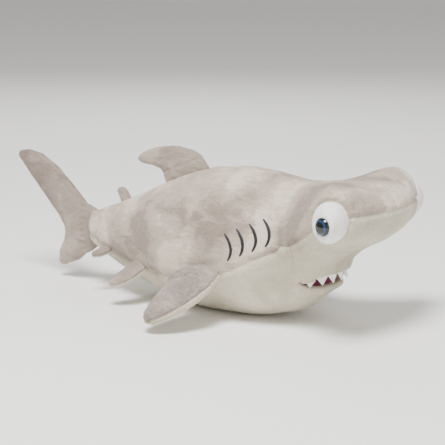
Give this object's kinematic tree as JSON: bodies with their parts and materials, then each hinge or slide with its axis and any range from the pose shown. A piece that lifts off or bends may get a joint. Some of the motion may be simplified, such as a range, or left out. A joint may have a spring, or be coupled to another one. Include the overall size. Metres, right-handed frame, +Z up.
{
  "type": "plush shark",
  "caption": "Stuffed plush hammerhead shark with a wide hammer head, plastic eyes, felt teeth, embroidered gills and floppy stuffed fins.",
  "frame": {"origin": "centre of the shark's bounding box, at the bottom, on the flat of its belly", "axes": "+X towards the nose, +Y towards the shark's left, +Z up"},
  "size_m": [0.4911, 0.28, 0.1651],
  "materials": {
    "grey_plush": "short pile",
    "cream_plush": "short pile",
    "white_plush": "short pile",
    "lining": "short pile",
    "felt": "matted",
    "thread": "satin",
    "stuffing": "loose fibre",
    "eye": "polished",
    "washer": "moulded"
  },
  "bodies": {
    "trunk": {"back_panel_left": "grey_plush", "back_panel_right": "grey_plush", "belly_panel": "cream_plush", "head_under_panel": "cream_plush", "eye_patch_left": "white_plush", "eye_patch_right": "white_plush", "mouth_lining": "lining", "felt_teeth": "felt", "trunk_stuffing": "stuffing", "head_stuffing": "stuffing", "chin_stuffing": "stuffing", "gill_stitches_left": "thread", "gill_stitches_right": "thread", "eye_left": "eye", "eye_right": "eye", "eye_washer_left": "washer", "eye_washer_right": "washer"},
    "dorsal_fin": {"dorsal_fin_left_panel": "grey_plush", "dorsal_fin_right_panel": "grey_plush", "dorsal_fin_stuffing": "stuffing"},
    "rear_dorsal_fin": {"rear_dorsal_fin_left_panel": "grey_plush", "rear_dorsal_fin_right_panel": "grey_plush", "rear_dorsal_fin_stuffing": "stuffing"},
    "tail_fin": {"tail_fin_left_panel": "grey_plush", "tail_fin_right_panel": "grey_plush", "tail_fin_stuffing": "stuffing"},
    "pectoral_left_fin": {"pectoral_left_upper_panel": "grey_plush", "pectoral_left_lower_panel": "cream_plush", "pectoral_left_stuffing": "stuffing"},
    "pectoral_right_fin": {"pectoral_right_upper_panel": "grey_plush", "pectoral_right_lower_panel": "cream_plush", "pectoral_right_stuffing": "stuffing"},
    "pelvic_left_fin": {"pelvic_left_upper_panel": "grey_plush", "pelvic_left_lower_panel": "cream_plush", "pelvic_left_stuffing": "stuffing"},
    "pelvic_right_fin": {"pelvic_right_upper_panel": "grey_plush", "pelvic_right_lower_panel": "cream_plush", "pelvic_right_stuffing": "stuffing"},
    "anal_left_fin": {"anal_left_upper_panel": "grey_plush", "anal_left_lower_panel": "cream_plush", "anal_left_stuffing": "stuffing"},
    "anal_right_fin": {"anal_right_upper_panel": "grey_plush", "anal_right_lower_panel": "cream_plush", "anal_right_stuffing": "stuffing"}
  },
  "joints": [
    {"name": "dorsal_fin_flop", "type": "hinge", "parent": "trunk", "child": "dorsal_fin", "pos_m": [-0.01014, 0, 0.14238], "axis": [0.9344, 0, 0.3563], "range_deg": [-35, 35], "stiffness_Nm_per_rad": 0.05},
    {"name": "rear_dorsal_fin_flop", "type": "hinge", "parent": "trunk", "child": "rear_dorsal_fin", "pos_m": [-0.09137, 0, 0.1028], "axis": [0.927, 0, 0.375], "range_deg": [-40, 40], "stiffness_Nm_per_rad": 0.01},
    {"name": "tail_fin_swing", "type": "hinge", "parent": "trunk", "child": "tail_fin", "pos_m": [-0.14562, 0, 0.06375], "axis": [0, 0, 1], "range_deg": [-40, 40], "stiffness_Nm_per_rad": 0.25},
    {"name": "pectoral_left_fin_flap", "type": "hinge", "parent": "trunk", "child": "pectoral_left_fin", "pos_m": [0.05731, 0.07969, 0.04293], "axis": [0.9747, 0.087, 0.206], "range_deg": [-12, 45], "stiffness_Nm_per_rad": 0.3},
    {"name": "pectoral_right_fin_flap", "type": "hinge", "parent": "trunk", "child": "pectoral_right_fin", "pos_m": [0.05731, -0.07969, 0.04293], "axis": [-0.9747, 0.087, -0.206], "range_deg": [-12, 45], "stiffness_Nm_per_rad": 0.3},
    {"name": "pelvic_left_fin_flap", "type": "hinge", "parent": "trunk", "child": "pelvic_left_fin", "pos_m": [-0.03766, 0.05246, 0.03772], "axis": [0.9351, 0.3447, -0.0828], "range_deg": [-12, 40], "stiffness_Nm_per_rad": 0.05},
    {"name": "pelvic_right_fin_flap", "type": "hinge", "parent": "trunk", "child": "pelvic_right_fin", "pos_m": [-0.03766, -0.05246, 0.03772], "axis": [-0.9351, 0.3447, 0.0828], "range_deg": [-12, 40], "stiffness_Nm_per_rad": 0.05},
    {"name": "anal_left_fin_flap", "type": "hinge", "parent": "trunk", "child": "anal_left_fin", "pos_m": [-0.09713, 0.03093, 0.04614], "axis": [0.9279, 0.2863, -0.2389], "range_deg": [-15, 35], "stiffness_Nm_per_rad": 0.01},
    {"name": "anal_right_fin_flap", "type": "hinge", "parent": "trunk", "child": "anal_right_fin", "pos_m": [-0.09713, -0.03093, 0.04614], "axis": [-0.9279, 0.2863, 0.2389], "range_deg": [-15, 35], "stiffness_Nm_per_rad": 0.01}
  ]
}
